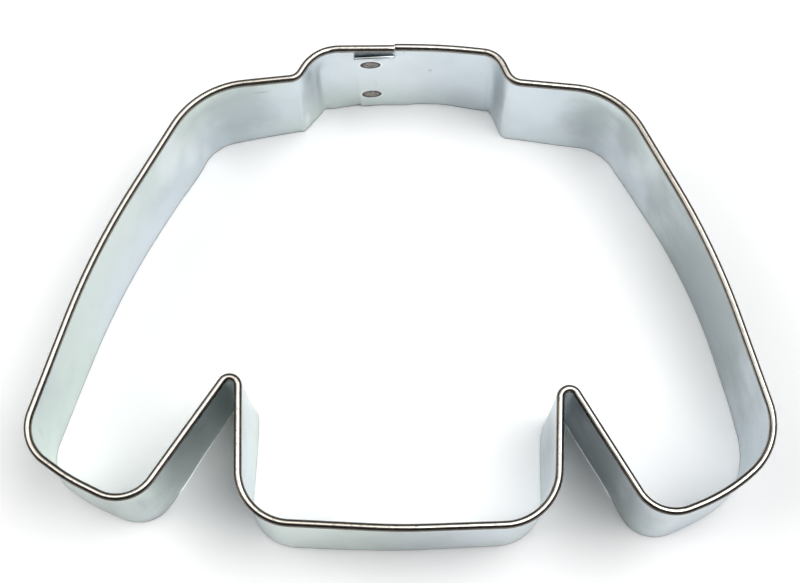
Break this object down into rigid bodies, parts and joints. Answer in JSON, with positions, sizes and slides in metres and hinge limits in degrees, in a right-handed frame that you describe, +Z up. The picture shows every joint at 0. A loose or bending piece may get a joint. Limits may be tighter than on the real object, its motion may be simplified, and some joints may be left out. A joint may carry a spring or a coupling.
{
  "type": "cookie cutter",
  "caption": "Sweater-shaped cookie cutter: one thin metal strip bent on edge to the outline, with a rolled bead along the top and a spot-welded lap at the collar.",
  "frame": {"origin": "middle of the outline, on the plane of the cutting edge", "axes": "+X to the sweater's right sleeve as seen from above, +Y from the hem to the collar, +Z up from the cutting edge to the bead"},
  "size_m": [0.1156, 0.0811, 0.0222],
  "materials": {
    "tinplate": "bright tinplate, softly mottled, with a shiny rolled bead"
  },
  "bodies": {
    "root": {"cutter_band": "tinplate"}
  },
  "joints": []
}
